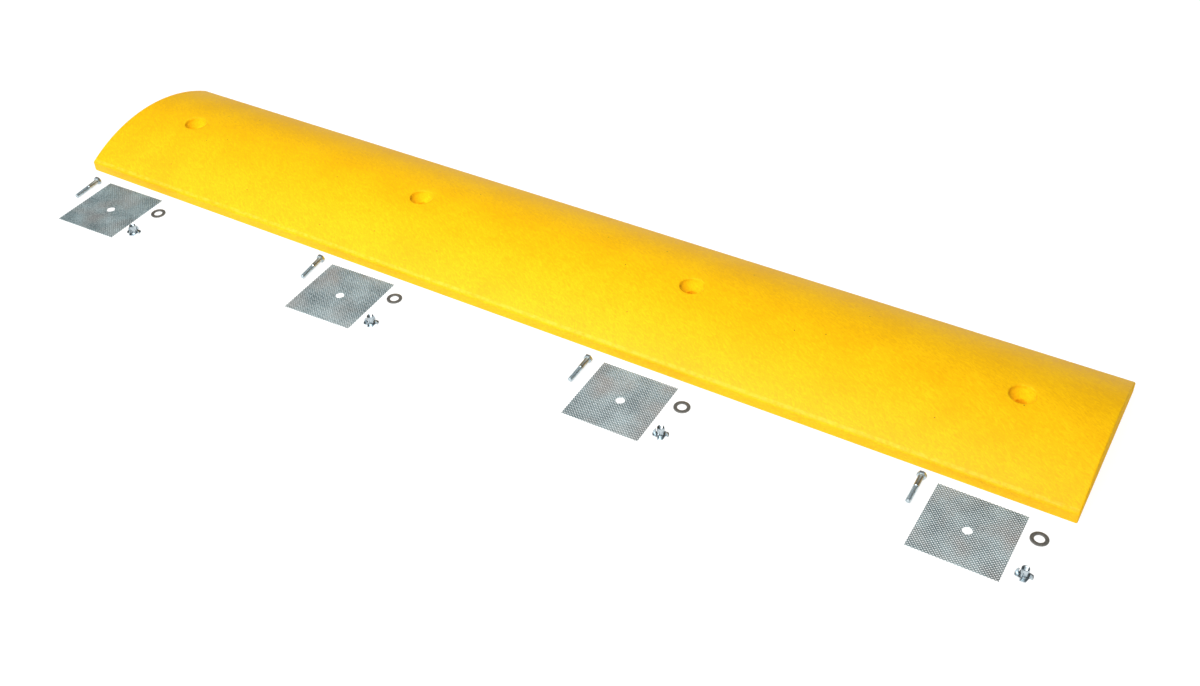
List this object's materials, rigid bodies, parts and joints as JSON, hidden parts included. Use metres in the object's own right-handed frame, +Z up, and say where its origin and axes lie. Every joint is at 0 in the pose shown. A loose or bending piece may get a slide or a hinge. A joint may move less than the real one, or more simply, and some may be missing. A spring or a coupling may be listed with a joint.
{
  "type": "speed bump",
  "caption": "Long arched moulded speed bump with recessed anchor holes along its crest, and its loose bolts, washers, tee nuts and square mesh plates laid out in front.",
  "frame": {"origin": "middle of the bump's flat underside", "axes": "+X along the bump's length, +Y away from the loose fixing kits, +Z up out of the road"},
  "size_m": [1.829, 0.4482, 0.057],
  "materials": {
    "yellow_plastic": "satin",
    "bright_zinc_steel": "satin",
    "galvanised_steel": "matte",
    "dark_steel": "matte"
  },
  "bodies": {
    "bump": {"bump_body": "yellow_plastic"},
    "hex_bolt_1": {"hex_bolt_1": "bright_zinc_steel"},
    "mesh_plate_1": {"mesh_plate_1": "galvanised_steel"},
    "washer_1": {"washer_1": "dark_steel"},
    "tee_nut_1": {"tee_nut_1": "bright_zinc_steel"},
    "hex_bolt_2": {"hex_bolt_2": "bright_zinc_steel"},
    "mesh_plate_2": {"mesh_plate_2": "galvanised_steel"},
    "washer_2": {"washer_2": "dark_steel"},
    "tee_nut_2": {"tee_nut_2": "bright_zinc_steel"},
    "hex_bolt_3": {"hex_bolt_3": "bright_zinc_steel"},
    "mesh_plate_3": {"mesh_plate_3": "galvanised_steel"},
    "washer_3": {"washer_3": "dark_steel"},
    "tee_nut_3": {"tee_nut_3": "bright_zinc_steel"},
    "hex_bolt_4": {"hex_bolt_4": "bright_zinc_steel"},
    "mesh_plate_4": {"mesh_plate_4": "galvanised_steel"},
    "washer_4": {"washer_4": "dark_steel"},
    "tee_nut_4": {"tee_nut_4": "bright_zinc_steel"}
  },
  "joints": [
    {"name": "hex_bolt_1_lift", "type": "slide", "parent": "bump", "child": "hex_bolt_1", "axis": [0, 0, 1], "range_m": [0, 0.15]},
    {"name": "mesh_plate_1_lift", "type": "slide", "parent": "bump", "child": "mesh_plate_1", "axis": [0, 0, 1], "range_m": [0, 0.15]},
    {"name": "washer_1_lift", "type": "slide", "parent": "bump", "child": "washer_1", "axis": [0, 0, 1], "range_m": [0, 0.15]},
    {"name": "tee_nut_1_lift", "type": "slide", "parent": "bump", "child": "tee_nut_1", "axis": [0, 0, 1], "range_m": [0, 0.15]},
    {"name": "hex_bolt_2_lift", "type": "slide", "parent": "bump", "child": "hex_bolt_2", "axis": [0, 0, 1], "range_m": [0, 0.15]},
    {"name": "mesh_plate_2_lift", "type": "slide", "parent": "bump", "child": "mesh_plate_2", "axis": [0, 0, 1], "range_m": [0, 0.15]},
    {"name": "washer_2_lift", "type": "slide", "parent": "bump", "child": "washer_2", "axis": [0, 0, 1], "range_m": [0, 0.15]},
    {"name": "tee_nut_2_lift", "type": "slide", "parent": "bump", "child": "tee_nut_2", "axis": [0, 0, 1], "range_m": [0, 0.15]},
    {"name": "hex_bolt_3_lift", "type": "slide", "parent": "bump", "child": "hex_bolt_3", "axis": [0, 0, 1], "range_m": [0, 0.15]},
    {"name": "mesh_plate_3_lift", "type": "slide", "parent": "bump", "child": "mesh_plate_3", "axis": [0, 0, 1], "range_m": [0, 0.15]},
    {"name": "washer_3_lift", "type": "slide", "parent": "bump", "child": "washer_3", "axis": [0, 0, 1], "range_m": [0, 0.15]},
    {"name": "tee_nut_3_lift", "type": "slide", "parent": "bump", "child": "tee_nut_3", "axis": [0, 0, 1], "range_m": [0, 0.15]},
    {"name": "hex_bolt_4_lift", "type": "slide", "parent": "bump", "child": "hex_bolt_4", "axis": [0, 0, 1], "range_m": [0, 0.15]},
    {"name": "mesh_plate_4_lift", "type": "slide", "parent": "bump", "child": "mesh_plate_4", "axis": [0, 0, 1], "range_m": [0, 0.15]},
    {"name": "washer_4_lift", "type": "slide", "parent": "bump", "child": "washer_4", "axis": [0, 0, 1], "range_m": [0, 0.15]},
    {"name": "tee_nut_4_lift", "type": "slide", "parent": "bump", "child": "tee_nut_4", "axis": [0, 0, 1], "range_m": [0, 0.15]}
  ]
}
